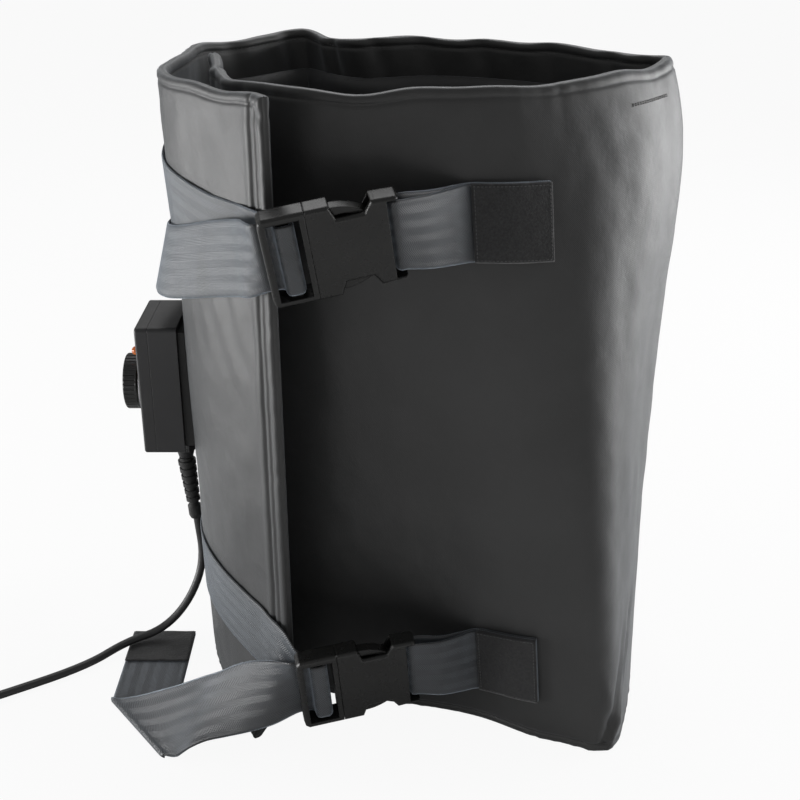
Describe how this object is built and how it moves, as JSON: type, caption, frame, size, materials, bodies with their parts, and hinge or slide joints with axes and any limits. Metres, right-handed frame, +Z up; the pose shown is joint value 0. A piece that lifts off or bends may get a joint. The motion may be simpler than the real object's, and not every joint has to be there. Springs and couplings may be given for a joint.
{
  "type": "drum heater",
  "caption": "Padded electric drum heating jacket with two buckled webbing straps, a thermostat box and a mains lead.",
  "frame": {"origin": "on the floor, in the middle of the space where the drum stands", "axes": "+X to the right as seen from the front, +Y to the back, +Z up"},
  "size_m": [0.5571, 0.2792, 0.4111],
  "materials": {
    "cover_fabric": "padded coated fabric, dark grey with a broad sheen",
    "mat_silicone": "thin reddish silicone heating mat",
    "liner_fabric": "dark grey lining",
    "webbing": "woven grey-black webbing with lengthwise bands",
    "hook_patch": "rough gripping patch",
    "buckle_plastic": "moulded black plastic, lightly glossy edges",
    "black_rubber": "soft black rubber",
    "box_plastic": "moulded black plastic, finely grained",
    "steel": "plated steel",
    "dial_metal": "grey printed dial ring",
    "knob_plastic": "black ribbed plastic",
    "control_plastic": "pale heat-resistant plastic",
    "brass": "nickel-free brass",
    "lamp_amber": "clear amber plastic",
    "terminal_white": "off-white plastic",
    "cord_rubber": "matt black cord sheath",
    "plug_rubber": "moulded black plug"
  },
  "bodies": {
    "jacket": {"outer_cover": "cover_fabric", "heating_mat": "mat_silicone", "inner_liner": "liner_fabric", "upper_strap": "webbing", "lower_strap": "webbing", "upper_short_strap": "webbing", "lower_short_strap": "webbing", "upper_hook_patch": "hook_patch", "lower_hook_patch": "hook_patch", "upper_tail_patch": "hook_patch", "lower_tail_patch": "hook_patch", "upper_buckle_socket": "buckle_plastic", "lower_buckle_socket": "buckle_plastic", "box_saddle": "black_rubber", "box_base": "box_plastic", "box_lid": "box_plastic", "base_screws": "steel", "lid_screws": "steel", "dial_ring": "dial_metal", "control_body": "control_plastic", "control_nut": "brass", "lamp_lens": "lamp_amber", "lamp_body": "control_plastic", "terminal_block": "terminal_white", "heater_lead": "cord_rubber", "gland_body": "box_plastic", "gland_locknut": "box_plastic", "gland_nut": "box_plastic", "bend_relief": "black_rubber", "power_cord": "cord_rubber", "cord_coil": "cord_rubber", "cord_tie": "black_rubber", "plug_lead": "cord_rubber", "plug_body": "plug_rubber", "plug_pins": "brass", "plug_earth_clips": "steel"},
    "knob": {"control_knob": "knob_plastic", "control_shaft": "steel"},
    "upper_latch": {"upper_buckle_latch": "buckle_plastic"},
    "lower_latch": {"lower_buckle_latch": "buckle_plastic"}
  },
  "joints": [
    {"name": "knob_turn", "type": "hinge", "parent": "jacket", "child": "knob", "pos_m": [-0.185, 0.015, 0.202], "axis": [-1, 0, 0], "range_deg": [-270, 0]},
    {"name": "upper_buckle_release", "type": "slide", "parent": "jacket", "child": "upper_latch", "axis": [-0.9733, -0.1542, -0.1702], "range_m": [0, 0.042], "deforming": ["upper_strap"]},
    {"name": "lower_buckle_release", "type": "slide", "parent": "jacket", "child": "lower_latch", "axis": [-0.9728, -0.2068, -0.1045], "range_m": [0, 0.042], "deforming": ["lower_strap"]}
  ]
}
